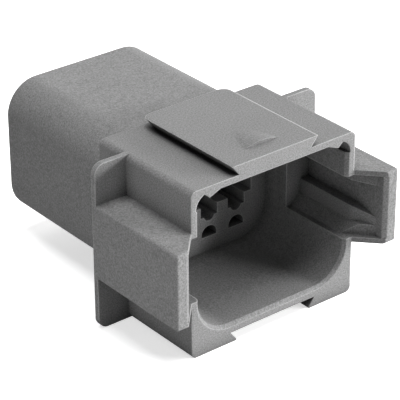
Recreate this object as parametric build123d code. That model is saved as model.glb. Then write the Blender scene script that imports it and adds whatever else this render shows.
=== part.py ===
"""Flanged connector socket: one moulded housing for two rows of pin contacts, and the wire seal in its rear.

Millimetres. X runs across the socket, Y from its open mouth to its wire side, and Z up.
Depths are counted from the front face of the shell. The finished parts are moved so that
the origin lies on the underside, below the middle of the length.
"""

import os

from build123d import *

# Shell, the square-cornered box that takes the plug
SHELL_HALF_WIDTH = 13.6
SHELL_HEIGHT = 24.0
SHELL_LENGTH = 19.2
SHELL_EDGE_RADIUS = 0.8
SHELL_REAR_EDGE_RADIUS = 0.5

# Plug cavity inside the shell, with a lead-in at its mouth
SIDE_WALL = 0.9
TOP_WALL = 0.9
FLOOR_WALL = 2.75
CAVITY_DEPTH = 16.2
CAVITY_DRAFT = 0.4
CAVITY_LOWER_RADIUS = 5.0
MOUTH_LEAD_WIDTH = 0.4
MOUTH_LEAD_DEPTH = 0.45

# Keying ridge in each upper corner of the cavity
RIDGE_START_X = 8.9
RIDGE_TIP_X = 10.65
RIDGE_DROP = 0.7
RIDGE_BACK_X = 11.45
CORNER_RELIEF = 0.15
CORNER_RELIEF_HEIGHT = 2.0

# Dovetail rail on top, and the groove underneath that takes the rail of a second socket
RAIL_TOP_HALF_WIDTH = 7.06
RAIL_NECK_HALF_WIDTH = 5.94
RAIL_HEIGHT = 1.4
RAIL_LENGTH = 18.6
RAIL_REAR_RADIUS = 1.3
GROOVE_CLEARANCE = 0.1
GROOVE_EDGE_RADIUS = 0.15

# Detent on the rail: a low ramp with an upright front face
DETENT_FRONT = 2.75
DETENT_LENGTH = 5.1
DETENT_HALF_WIDTH = 2.72
DETENT_HEIGHT = 0.48

# Panel flange
FLANGE_HALF_WIDTH = 18.5
FLANGE_FRONT = 13.2
FLANGE_THICKNESS = 0.8
FLANGE_CORNER_RADIUS = 1.5

# Latch housings on both sides of the shell
WING_BOTTOM = 7.5
WING_HEIGHT = 10.8
WING_FRONT_WIDTH = 1.8
WING_OUTER_WALL = 2.2
WING_LEAD_WIDTH = 0.6
WING_LEAD_DEPTH = 0.43
WING_SHELF_WALL = 0.75
WING_REAR_WALL = 1.4
WING_REACH = 3.3
WING_EDGE_RADIUS = 0.35

# Two latch rails on the inner face of each outer wall, with a slot between them
LATCH_RAIL_DEPTH = 1.5
LATCH_RAIL_START = -1.7
LATCH_RAIL_LEAD = 3.4
LATCH_SLOT_BOTTOM = 11.87
LATCH_SLOT_TOP = 15.7
LOWER_LATCH_RAIL_HEIGHT = 2.05
LOWER_LATCH_RAIL_RAMP = 0.85
LATCH_FOOT_DEPTH = 3.1

# Rear body
BODY_HALF_WIDTH = 12.3
BODY_HEIGHT = 20.0
BODY_BOTTOM = 2.9
BODY_REAR = 42.5
BODY_CORNER_RADIUS = 4.85
BODY_REAR_CHAMFER = 0.4

# Contact cavities, two rows in a square grid of columns
COLUMNS = 4
COLUMN_PITCH = 4.73
ROW_OFFSET = 4.25
NOSE_RADIUS = 0.93
NOSE_LENGTH = 5.6
CHAMBER_RADIUS = 1.75

# Wedge recess between the rows, and the notch from each cavity into it
RECESS_HALF_WIDTH = 9.75
RECESS_HALF_HEIGHT = 2.9
RECESS_DEPTH = 9.6
NOTCH_WIDTH = 2.9
NOTCH_START = 0.25

# Spring finger that holds each contact
FINGER_WIDTH = 2.2
FINGER_THICKNESS = 0.75
FINGER_SETBACK = 4.5
FINGER_HOOK = 0.45
FINGER_HOOK_LENGTH = 1.3

# Arched core-out beyond each cavity
ARCH_WIDTH = 2.65
ARCH_HEIGHT = 1.62
ARCH_BRIDGE = 0.77
ARCH_DEPTH = 5.0

# Wire seal and its pocket
POCKET_WALL = 1.25
POCKET_DEPTH = 9.5
SEAL_RECESS = 0.5
SEAL_SLACK = 0.45
SEAL_RIB_SLACK = 0.03
SEAL_RIB_LENGTH = 1.2
SEAL_RIBS = 3
WIRE_HOLE_RADIUS = 1.1
WIRE_FUNNEL_RADIUS = 1.75
WIRE_FUNNEL_DEPTH = 0.8

# Values that follow from the sizes above
OVERLAP = 0.3
CAVITY_HALF_WIDTH = SHELL_HALF_WIDTH - SIDE_WALL
CAVITY_TOP = SHELL_HEIGHT - TOP_WALL
RAIL_TOP = SHELL_HEIGHT + RAIL_HEIGHT
WING_TOP = WING_BOTTOM + WING_HEIGHT
WING_FRONT_X = FLANGE_HALF_WIDTH - WING_FRONT_WIDTH
WING_INNER_X = FLANGE_HALF_WIDTH - WING_OUTER_WALL
LATCH_POCKET_REAR = FLANGE_FRONT - WING_REAR_WALL
LATCH_POCKET_BOTTOM = WING_BOTTOM + WING_SHELF_WALL
LATCH_POCKET_TOP = WING_TOP - WING_SHELF_WALL
BODY_MIDDLE = BODY_BOTTOM + BODY_HEIGHT / 2
RECESS_REAR = CAVITY_DEPTH + RECESS_DEPTH
CHAMBER_FRONT = CAVITY_DEPTH + NOSE_LENGTH
POCKET_FLOOR = BODY_REAR - POCKET_DEPTH
SEAL_LENGTH = POCKET_DEPTH - SEAL_RECESS
MIDDLE_DEPTH = (BODY_REAR - WING_REACH) / 2


def across(depth):
    """Drawing plane across the socket at one depth: its x is X and its y is Z."""
    return Plane(origin=(0, depth, 0), x_dir=(1, 0, 0), z_dir=(0, -1, 0))


def drawn_out(outline, front, rear):
    """An outline drawn in X and Z, drawn out from one depth to a deeper one."""
    return extrude(across(front) * outline, amount=front - rear)


def raised(outline, bottom, top):
    """An outline drawn in X and Y, raised from one height to a higher one."""
    return extrude(Plane.XY.offset(bottom) * outline, amount=top - bottom)


def mirrored(shape):
    """The shape and its mirror image on the other side of the socket."""
    return shape + mirror(shape, about=Plane.YZ)


def shell():
    """Outside of the shell, rounded along its length and round its rear face."""
    outline = RectangleRounded(2 * SHELL_HALF_WIDTH, SHELL_HEIGHT, SHELL_EDGE_RADIUS)
    block = drawn_out(Pos(0, SHELL_HEIGHT / 2) * outline, 0, SHELL_LENGTH)
    return fillet(block.faces().sort_by(Axis.Y)[-1].edges(), SHELL_REAR_EDGE_RADIUS)


def dovetail(neck_half_width, top_half_width, base, height):
    """A trapezium that widens upwards, for the rail, or for the groove that takes it."""
    corners = [
        (-neck_half_width, base),
        (neck_half_width, base),
        (top_half_width, base + height),
        (-top_half_width, base + height),
    ]
    return make_face(Polyline(corners, close=True))


def rail():
    """Dovetail rail with its rear corners rounded, and its detent."""
    neck = dovetail(RAIL_NECK_HALF_WIDTH, RAIL_TOP_HALF_WIDTH, SHELL_HEIGHT, RAIL_HEIGHT)
    bar = drawn_out(neck, 0, RAIL_LENGTH)
    flanks = bar.faces().sort_by(Axis.Y)[-1].edges().sort_by(Axis.X)
    bar = fillet([flanks[0], flanks[-1]], RAIL_REAR_RADIUS)
    foot = Pos(0, SHELL_HEIGHT - OVERLAP / 2) * Rectangle(2 * RAIL_NECK_HALF_WIDTH, OVERLAP)
    return bar + drawn_out(foot, 0, RAIL_LENGTH - RAIL_REAR_RADIUS) + detent()


def detent():
    """A flat slice off the top of a cone that lies along the rail."""
    front_radius = (DETENT_HALF_WIDTH**2 + DETENT_HEIGHT**2) / (2 * DETENT_HEIGHT)
    rear_radius = front_radius - DETENT_HEIGHT
    along = Pos(0, DETENT_FRONT + DETENT_LENGTH / 2, RAIL_TOP - rear_radius) * Rot(-90, 0, 0)
    cone = along * Cone(front_radius, rear_radius, DETENT_LENGTH)
    slab = Pos(0, DETENT_FRONT + DETENT_LENGTH / 2, RAIL_TOP) * Box(
        2 * RAIL_NECK_HALF_WIDTH, DETENT_LENGTH, 2 * DETENT_HEIGHT
    )
    return cone & slab


def groove():
    """Dovetail groove in the underside, open at both ends, with the edges of its mouth rounded."""
    mouth = RAIL_NECK_HALF_WIDTH + GROOVE_CLEARANCE
    inner = RAIL_TOP_HALF_WIDTH + GROOVE_CLEARANCE
    slot = dovetail(mouth, inner, 0, RAIL_HEIGHT + GROOVE_CLEARANCE / 2)
    outline = slot + Pos(0, -OVERLAP / 2) * Rectangle(2 * SHELL_HALF_WIDTH, OVERLAP)
    edges_of_mouth = outline.vertices().group_by(Axis.Y)[1].sort_by(Axis.X)[1:3]
    return drawn_out(fillet(edges_of_mouth, GROOVE_EDGE_RADIUS), 0, SHELL_LENGTH)


def flange():
    outline = RectangleRounded(2 * FLANGE_HALF_WIDTH, SHELL_HEIGHT, FLANGE_CORNER_RADIUS)
    placed = Pos(0, SHELL_HEIGHT / 2) * outline
    return drawn_out(placed, FLANGE_FRONT, FLANGE_FRONT + FLANGE_THICKNESS)


def half_cavity(floor, side, draft):
    """Right half of the plug cavity: a wide round lower corner, and a keying ridge in the upper one."""
    corner_top = FLOOR_WALL + CAVITY_LOWER_RADIUS
    floor_end = (side + floor - corner_top, floor)
    side_start = (side, corner_top)
    top = CAVITY_TOP - draft
    relief_x = CAVITY_HALF_WIDTH + CORNER_RELIEF - draft
    relief_z = top - CORNER_RELIEF_HEIGHT
    ridge_back = (RIDGE_BACK_X - draft, top)
    outline = (
        Line((0, floor), floor_end)
        + TangentArc(floor_end, side_start, tangent=(1, 0))
        + Polyline(side_start, (side, relief_z), (relief_x, relief_z))
        + TangentArc((relief_x, relief_z), ridge_back, tangent=(0, 1))
        + Polyline(
            ridge_back,
            (RIDGE_TIP_X - draft, top - RIDGE_DROP),
            (RIDGE_START_X - draft, top),
            (0, top),
            (0, floor),
        )
    )
    return make_face(outline)


def cavity():
    """Plug cavity: a lead-in on the floor and sides of its mouth, then a drafted floor and top."""
    inner_side = CAVITY_HALF_WIDTH - MOUTH_LEAD_WIDTH
    mouth = half_cavity(FLOOR_WALL - MOUTH_LEAD_WIDTH, CAVITY_HALF_WIDTH, 0)
    throat = half_cavity(FLOOR_WALL, inner_side, 0)
    end = half_cavity(FLOOR_WALL + CAVITY_DRAFT, inner_side, CAVITY_DRAFT)
    lead = loft([across(0) * mouth, across(MOUTH_LEAD_DEPTH) * throat], ruled=True)
    room = loft([across(MOUTH_LEAD_DEPTH) * throat, across(CAVITY_DEPTH) * end], ruled=True)
    return mirrored(lead + room)


def wing():
    """Latch housing on the right: a box whose front slants out to a deeper outer wall."""
    root = SHELL_HALF_WIDTH - SIDE_WALL / 2
    rear = FLANGE_FRONT + OVERLAP
    plan = [
        (root, 0),
        (SHELL_HALF_WIDTH, 0),
        (WING_FRONT_X, -WING_REACH),
        (FLANGE_HALF_WIDTH, -WING_REACH),
        (FLANGE_HALF_WIDTH, rear),
        (root, rear),
    ]
    block = raised(make_face(Polyline(plan, close=True)), WING_BOTTOM, WING_TOP)
    front_corner = block.edges().filter_by(Axis.Z).group_by(Axis.Y)[0].sort_by(Axis.X)[-1]
    outer_edges = block.edges().filter_by(Axis.Y).group_by(Axis.X)[-1]
    front_edges = block.faces().sort_by(Axis.Y)[0].edges().filter_by(Axis.X)
    return fillet([front_corner] + outer_edges + front_edges, WING_EDGE_RADIUS)


def latch_pocket():
    """Space inside the right wing, open to the front and to the plug cavity, with a lead at its mouth."""
    inner = CAVITY_HALF_WIDTH / 2
    plan = [
        (inner, -WING_REACH),
        (WING_INNER_X + WING_LEAD_WIDTH, -WING_REACH),
        (WING_INNER_X, WING_LEAD_DEPTH - WING_REACH),
        (WING_INNER_X, LATCH_POCKET_REAR),
        (inner, LATCH_POCKET_REAR),
    ]
    return raised(make_face(Polyline(plan, close=True)), LATCH_POCKET_BOTTOM, LATCH_POCKET_TOP)


def latch_rail(bottom, top, reach=LATCH_RAIL_DEPTH):
    """Rail on the inner face of the right wing's outer wall, with a slanting lead at its front."""
    face = WING_INNER_X - reach
    back = WING_INNER_X + OVERLAP
    rear = LATCH_POCKET_REAR + OVERLAP
    plan = [
        (back, LATCH_RAIL_START),
        (WING_INNER_X, LATCH_RAIL_START),
        (face, LATCH_RAIL_START + LATCH_RAIL_LEAD),
        (face, rear),
        (back, rear),
    ]
    return raised(make_face(Polyline(plan, close=True)), bottom, top)


def latch_foot():
    """Sloping foot that carries the lower rail on the floor of the pocket."""
    top = LATCH_SLOT_BOTTOM - LOWER_LATCH_RAIL_HEIGHT
    bottom = LATCH_POCKET_BOTTOM - OVERLAP
    toe = WING_INNER_X - LATCH_FOOT_DEPTH
    back = WING_INNER_X + OVERLAP
    section = [
        (back, bottom),
        (toe, bottom),
        (toe, LATCH_POCKET_BOTTOM),
        (WING_INNER_X - LATCH_RAIL_DEPTH, top),
        (back, top),
    ]
    slope = drawn_out(make_face(Polyline(section, close=True)), LATCH_RAIL_START, FLANGE_FRONT)
    return slope & latch_rail(bottom, top, LATCH_FOOT_DEPTH)


def latch_rails():
    """Both rails, with a ramp along the front of the lower one."""
    upper = latch_rail(LATCH_SLOT_TOP, LATCH_POCKET_TOP + OVERLAP)
    lower = latch_rail(LATCH_SLOT_BOTTOM - LOWER_LATCH_RAIL_HEIGHT, LATCH_SLOT_BOTTOM)
    above_ramp = [
        (LATCH_RAIL_START, LATCH_SLOT_BOTTOM - LOWER_LATCH_RAIL_RAMP),
        (LATCH_RAIL_START + LATCH_RAIL_LEAD, LATCH_SLOT_BOTTOM),
        (LATCH_RAIL_START, LATCH_SLOT_BOTTOM),
    ]
    side = Plane.YZ.offset(SHELL_HALF_WIDTH) * make_face(Polyline(above_ramp, close=True))
    lower -= extrude(side, amount=FLANGE_HALF_WIDTH - SHELL_HALF_WIDTH)
    return upper + lower + latch_foot()


def body_outline(inset=0.0):
    """Outline of the rear body, or of something inside it by an even inset."""
    outline = RectangleRounded(
        2 * (BODY_HALF_WIDTH - inset),
        BODY_HEIGHT - 2 * inset,
        BODY_CORNER_RADIUS - inset,
    )
    return Pos(0, BODY_MIDDLE) * outline


def rear_body():
    block = drawn_out(body_outline(), FLANGE_FRONT, BODY_REAR)
    return chamfer(block.faces().sort_by(Axis.Y)[-1].edges(), BODY_REAR_CHAMFER)


def column_places():
    """Distance of each column of contacts from the middle."""
    return [(column - (COLUMNS - 1) / 2) * COLUMN_PITCH for column in range(COLUMNS)]


def at_each_contact(lower_row_shape):
    """Copies of a shape drawn round the row axis: one per contact, turned over in the upper row."""
    copies = []
    for x in column_places():
        lower = Pos(x, 0, BODY_MIDDLE - ROW_OFFSET) * lower_row_shape
        upper = mirror(lower, about=Plane.XY.offset(BODY_MIDDLE))
        copies += [lower, upper]
    return copies


def contact_cavity():
    """Nose hole, chamber and notch of a lower contact, about its own axis."""
    nose = drawn_out(Circle(NOSE_RADIUS), CAVITY_DEPTH, CHAMBER_FRONT)
    chamber = drawn_out(Circle(CHAMBER_RADIUS), CHAMBER_FRONT, POCKET_FLOOR)
    notch_top = ROW_OFFSET - RECESS_HALF_HEIGHT + OVERLAP
    notch_height = notch_top + NOTCH_START
    notch = Pos(0, notch_top - notch_height / 2) * Rectangle(NOTCH_WIDTH, notch_height)
    return nose + chamber + drawn_out(notch, CAVITY_DEPTH, RECESS_REAR)


def arch():
    """Arched core-out below a lower contact: a flat floor, short sides and a round top."""
    radius = ARCH_WIDTH / 2
    straight = ARCH_HEIGHT - radius
    top = -NOSE_RADIUS - ARCH_BRIDGE
    sides = Pos(0, top - radius - straight / 2) * Rectangle(ARCH_WIDTH, straight)
    crown = Pos(0, top - radius) * Circle(radius)
    upper_half = Pos(0, top - radius / 2) * Rectangle(ARCH_WIDTH, radius)
    return drawn_out(sides + (crown & upper_half), CAVITY_DEPTH, CAVITY_DEPTH + ARCH_DEPTH)


def finger():
    """Spring finger of a lower contact: a beam from the rear of the recess with a hooked tip."""
    underside = ROW_OFFSET - RECESS_HALF_HEIGHT
    topside = underside + FINGER_THICKNESS
    tip = CAVITY_DEPTH + FINGER_SETBACK
    profile = [
        (RECESS_REAR + OVERLAP, underside),
        (RECESS_REAR + OVERLAP, topside),
        (tip, topside),
        (tip, underside - FINGER_HOOK),
        (tip + FINGER_HOOK_LENGTH / 2, underside - FINGER_HOOK),
        (tip + FINGER_HOOK_LENGTH, underside),
    ]
    side = make_face(Polyline(profile, close=True))
    return extrude(Plane.YZ.offset(-FINGER_WIDTH / 2) * side, amount=FINGER_WIDTH)


def wedge_recess():
    outline = Rectangle(2 * RECESS_HALF_WIDTH, 2 * RECESS_HALF_HEIGHT)
    return drawn_out(Pos(0, BODY_MIDDLE) * outline, CAVITY_DEPTH, RECESS_REAR)


def seal_pocket():
    return drawn_out(body_outline(POCKET_WALL), POCKET_FLOOR, BODY_REAR)


def housing():
    """The whole moulding."""
    outside = shell() + flange() + mirrored(wing()) + rear_body() + rail()
    hollows = [groove(), cavity(), mirrored(latch_pocket()), wedge_recess(), seal_pocket()]
    hollows += at_each_contact(contact_cavity())
    hollows += at_each_contact(arch())
    return outside - hollows + mirrored(latch_rails()) + at_each_contact(finger())


def wire_hole():
    """Hole for one wire, with a funnel at the rear face of the seal."""
    rear = POCKET_FLOOR + SEAL_LENGTH
    hole = drawn_out(Circle(WIRE_HOLE_RADIUS), POCKET_FLOOR, rear)
    funnel_centre = rear - WIRE_FUNNEL_DEPTH / 2
    funnel = Pos(0, funnel_centre, 0) * Rot(-90, 0, 0) * Cone(
        WIRE_HOLE_RADIUS, WIRE_FUNNEL_RADIUS, WIRE_FUNNEL_DEPTH
    )
    return hole + funnel


def wire_seal():
    """Silicone block with ribs round its rim and one hole for each wire."""
    seal = drawn_out(body_outline(POCKET_WALL + SEAL_SLACK), POCKET_FLOOR, POCKET_FLOOR + SEAL_LENGTH)
    gap = (SEAL_LENGTH - SEAL_RIBS * SEAL_RIB_LENGTH) / (SEAL_RIBS + 1)
    for rib in range(SEAL_RIBS):
        front = POCKET_FLOOR + gap + rib * (gap + SEAL_RIB_LENGTH)
        seal += drawn_out(body_outline(POCKET_WALL + SEAL_RIB_SLACK), front, front + SEAL_RIB_LENGTH)
    return seal - at_each_contact(wire_hole())


def main():
    os.makedirs("parts", exist_ok=True)
    centred = Pos(0, -MIDDLE_DEPTH, 0)
    export_step(centred * housing(), "parts/housing.step")
    export_step(centred * wire_seal(), "parts/wire_seal.step")


if __name__ == "__main__":
    main()
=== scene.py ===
"""Finish and studio for a flanged connector socket: fine-grained grey moulding and silicone wire seal."""

import math

import bpy
from mathutils import Matrix, Vector


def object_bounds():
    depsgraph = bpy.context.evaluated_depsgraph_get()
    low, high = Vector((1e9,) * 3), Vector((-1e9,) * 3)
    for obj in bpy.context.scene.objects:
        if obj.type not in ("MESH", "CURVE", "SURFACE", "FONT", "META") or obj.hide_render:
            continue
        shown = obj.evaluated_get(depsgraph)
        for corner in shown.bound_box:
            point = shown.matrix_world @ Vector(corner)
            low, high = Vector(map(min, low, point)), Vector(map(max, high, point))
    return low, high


bl_info = {
    "name": "Connector socket finish",
    "version": (1, 0, 0),
    "blender": (4, 5, 0),
    "location": "3D View > Sidebar > Socket",
    "description": "Finishes the housing and wire seal of a connector socket and sets up its studio",
    "category": "Object",
}

MM = 0.001
SENSOR_WIDTH = 36  # millimetres
SHADING_SAMPLES = 8  # rays that the edge rounding and the recess shading each take
MIXED_COLOUR = 2  # place of the colour among the outputs of a Mix node
WHITE = (1, 1, 1, 1)

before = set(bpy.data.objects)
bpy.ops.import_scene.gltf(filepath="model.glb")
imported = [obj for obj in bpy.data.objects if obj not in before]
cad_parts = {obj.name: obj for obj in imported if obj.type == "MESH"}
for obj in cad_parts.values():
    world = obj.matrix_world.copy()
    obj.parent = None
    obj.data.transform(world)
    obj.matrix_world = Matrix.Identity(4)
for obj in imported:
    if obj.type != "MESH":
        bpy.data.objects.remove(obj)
cad_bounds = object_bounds()


class PlasticSettings(bpy.types.PropertyGroup):
    """Finish of the moulded housing."""

    colour: bpy.props.FloatVectorProperty(
        name="Colour", description="Colour of the moulded plastic",
        subtype="COLOR", size=3, min=0, max=1, default=(0.25, 0.25, 0.25),
    )
    roughness: bpy.props.FloatProperty(
        name="Roughness", description="Roughness of the eroded mould texture",
        min=0, max=1, default=0.65,
    )
    roughness_change: bpy.props.FloatProperty(
        name="Roughness change",
        description="Change of roughness from the lows to the highs of the grain",
        min=0, max=1, default=0.2,
    )
    specular: bpy.props.FloatProperty(
        name="Specular", description="Strength of the surface's reflection",
        min=0, max=1, default=0.15,
    )
    mean_tone: bpy.props.FloatProperty(
        name="Mean tone", description="Share of the colour that an open, flat face shows on average",
        min=0, default=0.99,
    )
    grain: bpy.props.FloatProperty(
        name="Grain size", description="Size of one grain of the mould texture",
        unit="LENGTH", min=0.02 * MM, default=0.2 * MM,
    )
    grain_height: bpy.props.FloatProperty(
        name="Grain height", description="Height of the mould texture",
        unit="LENGTH", min=0, default=0.004 * MM,
    )
    grain_tone: bpy.props.FloatProperty(
        name="Grain tone", description="Change of tone from the lows to the highs of the grain",
        min=0, default=1.6,
    )
    cloud: bpy.props.FloatProperty(
        name="Cloud size", description="Size of the soft changes of tone in the plastic",
        unit="LENGTH", min=0.1 * MM, default=5 * MM,
    )
    cloud_tone: bpy.props.FloatProperty(
        name="Cloud tone", description="Change of tone from the darkest to the palest cloud",
        min=0, default=0.12,
    )
    edge_radius: bpy.props.FloatProperty(
        name="Edge radius", description="Radius of the mould's small edge rounding",
        unit="LENGTH", min=0, default=0.3 * MM,
    )
    # Painted highlight: outer edges are made paler in the colour, in place of light caught on their small
    # rounding; on inner edges it turns to painted shade.
    painted_edge_highlight: bpy.props.FloatProperty(
        name="Edge tone", description="How much paler the outer edges are",
        min=0, default=4,
    )
    # Painted shade: the colour is darkened in corners and recesses within this size, where shade falls.
    recess: bpy.props.FloatProperty(
        name="Recess size", description="Size of the corners and recesses where the finish is darker",
        unit="LENGTH", min=0, default=2.5 * MM,
    )
    # How late the painted shade sets in towards a recess.
    painted_shade_fall: bpy.props.FloatProperty(
        name="Recess fall",
        description="How late the tone starts to fall towards a recess; 0 is an even fall",
        min=0, max=1, default=0.6,
    )


class SiliconeSettings(bpy.types.PropertyGroup):
    """Finish of the wire seal."""

    colour: bpy.props.FloatVectorProperty(
        name="Colour", description="Colour of the silicone",
        subtype="COLOR", size=3, min=0, max=1, default=(0.5, 0.11, 0.04),
    )
    roughness: bpy.props.FloatProperty(
        name="Roughness", description="Roughness of the silicone",
        min=0, max=1, default=0.42,
    )
    roughness_change: bpy.props.FloatProperty(
        name="Roughness change", description="Change of roughness over the powdery patches",
        min=0, max=1, default=0.16,
    )
    specular: bpy.props.FloatProperty(
        name="Specular", description="Strength of the surface's reflection",
        min=0, max=1, default=0.5,
    )
    bloom: bpy.props.FloatProperty(
        name="Bloom size", description="Size of the powdery patches on the silicone",
        unit="LENGTH", min=0.1 * MM, default=2.5 * MM,
    )
    bloom_tone: bpy.props.FloatProperty(
        name="Bloom tone", description="Change of tone over the powdery patches",
        min=0, max=1, default=0.2,
    )
    skin: bpy.props.FloatProperty(
        name="Skin size", description="Size of the unevenness of the silicone's skin",
        unit="LENGTH", min=0.01 * MM, default=0.125 * MM,
    )
    skin_height: bpy.props.FloatProperty(
        name="Skin height", description="Height of the unevenness of the silicone's skin",
        unit="LENGTH", min=0, default=0.01 * MM,
    )
    edge_radius: bpy.props.FloatProperty(
        name="Edge radius", description="Radius of the mould's small edge rounding",
        unit="LENGTH", min=0, default=0.2 * MM,
    )


class CameraSettings(bpy.types.PropertyGroup):
    """Place of the camera round the socket."""

    azimuth: bpy.props.FloatProperty(
        name="Azimuth", description="Turn of the camera from the mouth's own axis",
        subtype="ANGLE", default=math.radians(-38.742),
    )
    elevation: bpy.props.FloatProperty(
        name="Elevation", description="Height of the camera above the horizon",
        subtype="ANGLE", default=math.radians(28.352),
    )
    roll: bpy.props.FloatProperty(
        name="Roll", description="Turn of the camera about its own axis",
        subtype="ANGLE", default=math.radians(-0.186),
    )
    distance: bpy.props.FloatProperty(
        name="Distance", description="Distance from the camera to its target",
        unit="LENGTH", default=269.57 * MM,
    )
    target: bpy.props.FloatVectorProperty(
        name="Target", description="Point that the camera looks at",
        subtype="XYZ", unit="LENGTH", size=3, default=(-0.152 * MM, -4.6 * MM, 12.223 * MM),
    )
    lens: bpy.props.FloatProperty(
        name="Focal length", description="Focal length in millimetres, on a sensor of 36 mm",
        min=20, default=182.1,
    )


class StudioSettings(bpy.types.PropertyGroup):
    """Floor and light."""

    floor_size: bpy.props.FloatProperty(
        name="Floor size", description="Side of the square floor",
        unit="LENGTH", default=4.0,
    )
    floor_colour: bpy.props.FloatVectorProperty(
        name="Floor colour", description="Colour of the floor as the socket sees it",
        subtype="COLOR", size=3, min=0, max=1, default=(0.5, 0.5, 0.5),
    )
    floor_glow: bpy.props.FloatProperty(
        name="Floor glow",
        description="Light that the camera alone sees on the floor, so that it shows white",
        min=0, max=1, default=0.6,
    )
    ambient: bpy.props.FloatProperty(
        name="Ambient", description="Strength of the even light from all round",
        min=0, default=0.01,
    )


class SocketFinish(bpy.types.PropertyGroup):
    """All settings of the socket."""

    plastic: bpy.props.PointerProperty(type=PlasticSettings)
    silicone: bpy.props.PointerProperty(type=SiliconeSettings)
    camera: bpy.props.PointerProperty(type=CameraSettings)
    studio: bpy.props.PointerProperty(type=StudioSettings)


def settings():
    """The four groups of settings, kept on the scene."""
    return bpy.context.scene.socket_finish


class Value:
    """An output socket of a shader node that takes part in sums, differences and products."""

    def __init__(self, shader, socket):
        self.shader = shader
        self.socket = socket

    def math(self, operation, first, second):
        return self.shader.node("ShaderNodeMath", {"operation": operation}, {0: first, 1: second})

    def __add__(self, other):
        return self.math("ADD", self, other)

    def __radd__(self, other):
        return self.math("ADD", other, self)

    def __sub__(self, other):
        return self.math("SUBTRACT", self, other)

    def __rsub__(self, other):
        return self.math("SUBTRACT", other, self)

    def __mul__(self, other):
        return self.math("MULTIPLY", self, other)

    def __rmul__(self, other):
        return self.math("MULTIPLY", other, self)


class Shader:
    """A new material with a Principled shader, and a way to add nodes to it."""

    def __init__(self, name):
        self.material = bpy.data.materials.new(name)
        self.material.use_nodes = True
        self.tree = self.material.node_tree
        self.surface = self.tree.nodes["Principled BSDF"]

    def feed(self, node, inputs):
        """Links the varying inputs of a node, and sets the constant ones."""
        for name, value in inputs.items():
            if isinstance(value, Value):
                self.tree.links.new(value.socket, node.inputs[name])
            else:
                node.inputs[name].default_value = value

    def node(self, kind, setup, inputs, output=0):
        """Adds a node with its settings and inputs, and gives one of its outputs."""
        made = self.tree.nodes.new(kind)
        for name, value in setup.items():
            setattr(made, name, value)
        self.feed(made, inputs)
        return Value(self, made.outputs[output])

    def place(self):
        """Position on the piece, in metres."""
        return self.node("ShaderNodeTexCoord", {}, {}, "Object")

    def noise(self, size, detail=2.0):
        """Noise from 0 to 1 with features of that size."""
        inputs = {"Vector": self.place(), "Scale": 1 / size, "Detail": detail}
        return self.node("ShaderNodeTexNoise", {}, inputs, "Fac")

    def shade(self, colour, factor):
        """A colour made darker or lighter by a factor that varies."""
        inputs = {0: colour, "Scale": factor}
        return self.node("ShaderNodeVectorMath", {"operation": "SCALE"}, inputs, "Vector")

    def mix(self, factor, first, second):
        """The first colour where the factor is 0, and the second where it is 1."""
        inputs = {"Factor": factor, "A": first, "B": second}
        return self.node("ShaderNodeMix", {"data_type": "RGBA"}, inputs, MIXED_COLOUR)

    def rounded(self, radius):
        """Normals that run smoothly over every edge."""
        return self.node("ShaderNodeBevel", {"samples": SHADING_SAMPLES}, {"Radius": radius})

    def edge(self, rounded):
        """0 on flat faces, rising towards 1 on sharp edges."""
        flat = self.node("ShaderNodeNewGeometry", {}, {}, "Normal")
        along = self.node(
            "ShaderNodeVectorMath", {"operation": "DOT_PRODUCT"}, {0: rounded, 1: flat}, "Value"
        )
        return 1 - along

    def openness(self, distance):
        """1 on open faces, falling towards 0 where the piece closes in within that distance."""
        setup = {"samples": SHADING_SAMPLES}
        return self.node("ShaderNodeAmbientOcclusion", setup, {"Distance": distance}, "AO")

    def bump(self, height, texture, normal):
        """Normals of a surface with that texture, of that height."""
        return self.node("ShaderNodeBump", {}, {"Distance": height, "Height": texture, "Normal": normal})


def plastic_material(name, finish):
    """Matte moulded plastic: eroded grain and faint clouds of tone, with painted highlights on outer
    edges and painted shade on inner edges and in recesses.
    """
    shader = Shader(name)
    rounded = shader.rounded(finish.edge_radius)
    edge = shader.edge(rounded)
    grain = shader.noise(finish.grain, detail=3.0)
    cloud = shader.noise(finish.cloud)
    openness = shader.openness(finish.recess)
    # Painted highlight on outer edges, turning to painted shade on inner edges where the piece closes in.
    edge_highlight_and_shade = edge * (2 * openness - 1)
    least_tone = finish.mean_tone - (finish.cloud_tone + finish.grain_tone) / 2
    face_tone = least_tone + finish.cloud_tone * cloud + finish.grain_tone * grain
    # Painted shade in corners and recesses, from how closed in each point is.
    painted_recess_shade = openness * (1 + finish.painted_shade_fall - finish.painted_shade_fall * openness)
    tone = (face_tone + finish.painted_edge_highlight * edge_highlight_and_shade) * painted_recess_shade
    least_roughness = finish.roughness - finish.roughness_change / 2
    shader.feed(shader.surface, {
        "Base Color": shader.shade(finish.colour, tone),
        "Roughness": least_roughness + finish.roughness_change * grain,
        "Normal": shader.bump(finish.grain_height, grain, rounded),
        "Specular IOR Level": finish.specular,
    })
    return shader.material


def silicone_material(name, finish):
    """Satin silicone with a faint powdery bloom."""
    shader = Shader(name)
    rounded = shader.rounded(finish.edge_radius)
    bloom = shader.noise(finish.bloom, detail=4.0)
    skin = shader.noise(finish.skin)
    tone = 1 - finish.bloom_tone / 2 + finish.bloom_tone * bloom
    least_roughness = finish.roughness - finish.roughness_change / 2
    shader.feed(shader.surface, {
        "Base Color": shader.shade(finish.colour, tone),
        "Roughness": least_roughness + finish.roughness_change * bloom,
        "Normal": shader.bump(finish.skin_height, skin, rounded),
        "Specular IOR Level": finish.specular,
    })
    return shader.material


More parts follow.
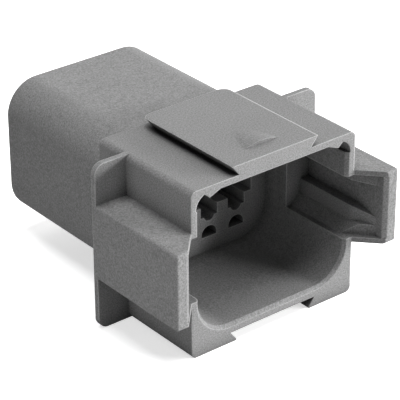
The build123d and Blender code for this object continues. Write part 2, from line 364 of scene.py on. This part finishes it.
def floor_material(name, studio):
    """Pale floor that shows white to the camera, and is no brighter than its colour to the socket."""
    shader = Shader(name)
    seen = shader.node("ShaderNodeLightPath", {}, {}, "Is Camera Ray")
    shader.feed(shader.surface, {
        "Base Color": shader.mix(seen, (*studio.floor_colour, 1), WHITE),
        "Emission Color": shader.shade((1, 1, 1), seen),
        "Emission Strength": studio.floor_glow,
        "Roughness": 1.0,
        "Specular IOR Level": 0.0,
    })
    return shader.material


def finish_node(name, material):
    """Gives a CAD node its material."""
    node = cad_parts[name]
    node.data.materials.clear()
    node.data.materials.append(material)


class SOCKET_OT_housing(bpy.types.Operator):
    """Finish the moulded housing"""

    bl_idname = "socket.housing"
    bl_label = "Finish housing"

    def execute(self, context):
        plastic = plastic_material("moulded_plastic", settings().plastic)
        finish_node("housing", plastic)
        return {"FINISHED"}


class SOCKET_OT_wire_seal(bpy.types.Operator):
    """Finish the wire seal"""

    bl_idname = "socket.wire_seal"
    bl_label = "Finish wire seal"

    def execute(self, context):
        silicone = silicone_material("silicone", settings().silicone)
        finish_node("wire_seal", silicone)
        return {"FINISHED"}


def direction(azimuth, elevation):
    """Unit vector towards a place round the socket; azimuth 0 is in front of the mouth."""
    level = math.cos(elevation)
    return Vector((math.sin(azimuth) * level, -math.cos(azimuth) * level, math.sin(elevation)))


LIGHTS = (
    # name, azimuth and elevation in degrees, distance, width and height in metres, radiance
    ("key_light", 48, 9, 0.8, 0.45, 0.25, 31),
    ("front_light", 0, 20, 0.8, 0.3, 0.2, 1.6),
    ("left_light", -75, 8, 0.09, 0.05, 0.02, 4.1),
    ("right_rear_light", 130, 25, 0.8, 0.5, 0.5, 0.9),
    ("rear_light", 163, 30, 0.8, 0.5, 0.5, 2.8),
    ("top_light", 0, 88, 0.8, 0.5, 0.5, 6.4),
)


def add_light(name, azimuth, elevation, distance, width, height, radiance):
    """Soft box that faces the middle of the socket."""
    low, high = cad_bounds
    toward = direction(math.radians(azimuth), math.radians(elevation))
    data = bpy.data.lights.new(name, "AREA")
    data.shape = "RECTANGLE"
    data.size = width
    data.size_y = height
    data.energy = radiance * math.pi * width * height
    light = bpy.data.objects.new(name, data)
    light.location = (low + high) / 2 + distance * toward
    light.rotation_euler = toward.to_track_quat("Z", "Y").to_euler()
    bpy.context.scene.collection.objects.link(light)


def add_floor(studio):
    """Level floor that the socket stands on."""
    bpy.ops.mesh.primitive_plane_add(size=studio.floor_size, location=(0, 0, 0))
    floor = bpy.context.object
    floor.name = "floor"
    floor.data.materials.append(floor_material("floor_white", studio))


def add_camera(place):
    """Camera that looks at its target from its place round the socket."""
    data = bpy.data.cameras.new("camera")
    data.lens = place.lens
    data.sensor_width = SENSOR_WIDTH
    data.clip_start = 10 * MM
    camera = bpy.data.objects.new("camera", data)
    turn = (
        Matrix.Rotation(place.azimuth, 4, "Z")
        @ Matrix.Rotation(math.pi / 2 - place.elevation, 4, "X")
        @ Matrix.Rotation(place.roll, 4, "Z")
    )
    stand = Vector(place.target) + place.distance * direction(place.azimuth, place.elevation)
    camera.matrix_world = Matrix.Translation(stand) @ turn
    bpy.context.scene.collection.objects.link(camera)
    bpy.context.scene.camera = camera


def set_world(strength):
    """Even white light from all round."""
    world = bpy.data.worlds.new("studio")
    world.use_nodes = True
    background = world.node_tree.nodes["Background"]
    background.inputs["Color"].default_value = WHITE
    background.inputs["Strength"].default_value = strength
    bpy.context.scene.world = world


class SOCKET_OT_stage(bpy.types.Operator):
    """Set up the floor, the lights and the camera"""

    bl_idname = "socket.stage"
    bl_label = "Set up studio"

    def execute(self, context):
        studio = settings().studio
        add_floor(studio)
        for light in LIGHTS:
            add_light(*light)
        set_world(studio.ambient)
        add_camera(settings().camera)
        context.scene.view_settings.view_transform = "Standard"
        return {"FINISHED"}


class SOCKET_PT_panel(bpy.types.Panel):
    """Lists the steps of the socket's finish, and its settings."""

    bl_idname = "SOCKET_PT_panel"
    bl_label = "Connector socket"
    bl_space_type = "VIEW_3D"
    bl_region_type = "UI"
    bl_category = "Socket"

    def draw(self, context):
        finish = context.scene.socket_finish
        for step in STEPS:
            self.layout.operator(step.bl_idname)
        for group in (finish.plastic, finish.silicone, finish.camera, finish.studio):
            for name in group.__annotations__:
                self.layout.prop(group, name)


STEPS = (SOCKET_OT_housing, SOCKET_OT_wire_seal, SOCKET_OT_stage)
CLASSES = (
    PlasticSettings,
    SiliconeSettings,
    CameraSettings,
    StudioSettings,
    SocketFinish,
    *STEPS,
    SOCKET_PT_panel,
)


def register():
    for cls in CLASSES:
        bpy.utils.register_class(cls)
    bpy.types.Scene.socket_finish = bpy.props.PointerProperty(type=SocketFinish)


def unregister():
    del bpy.types.Scene.socket_finish
    for cls in reversed(CLASSES):
        bpy.utils.unregister_class(cls)


def main():
    register()
    bpy.ops.socket.housing()
    bpy.ops.socket.wire_seal()
    bpy.ops.socket.stage()


if __name__ == "__main__":
    main()
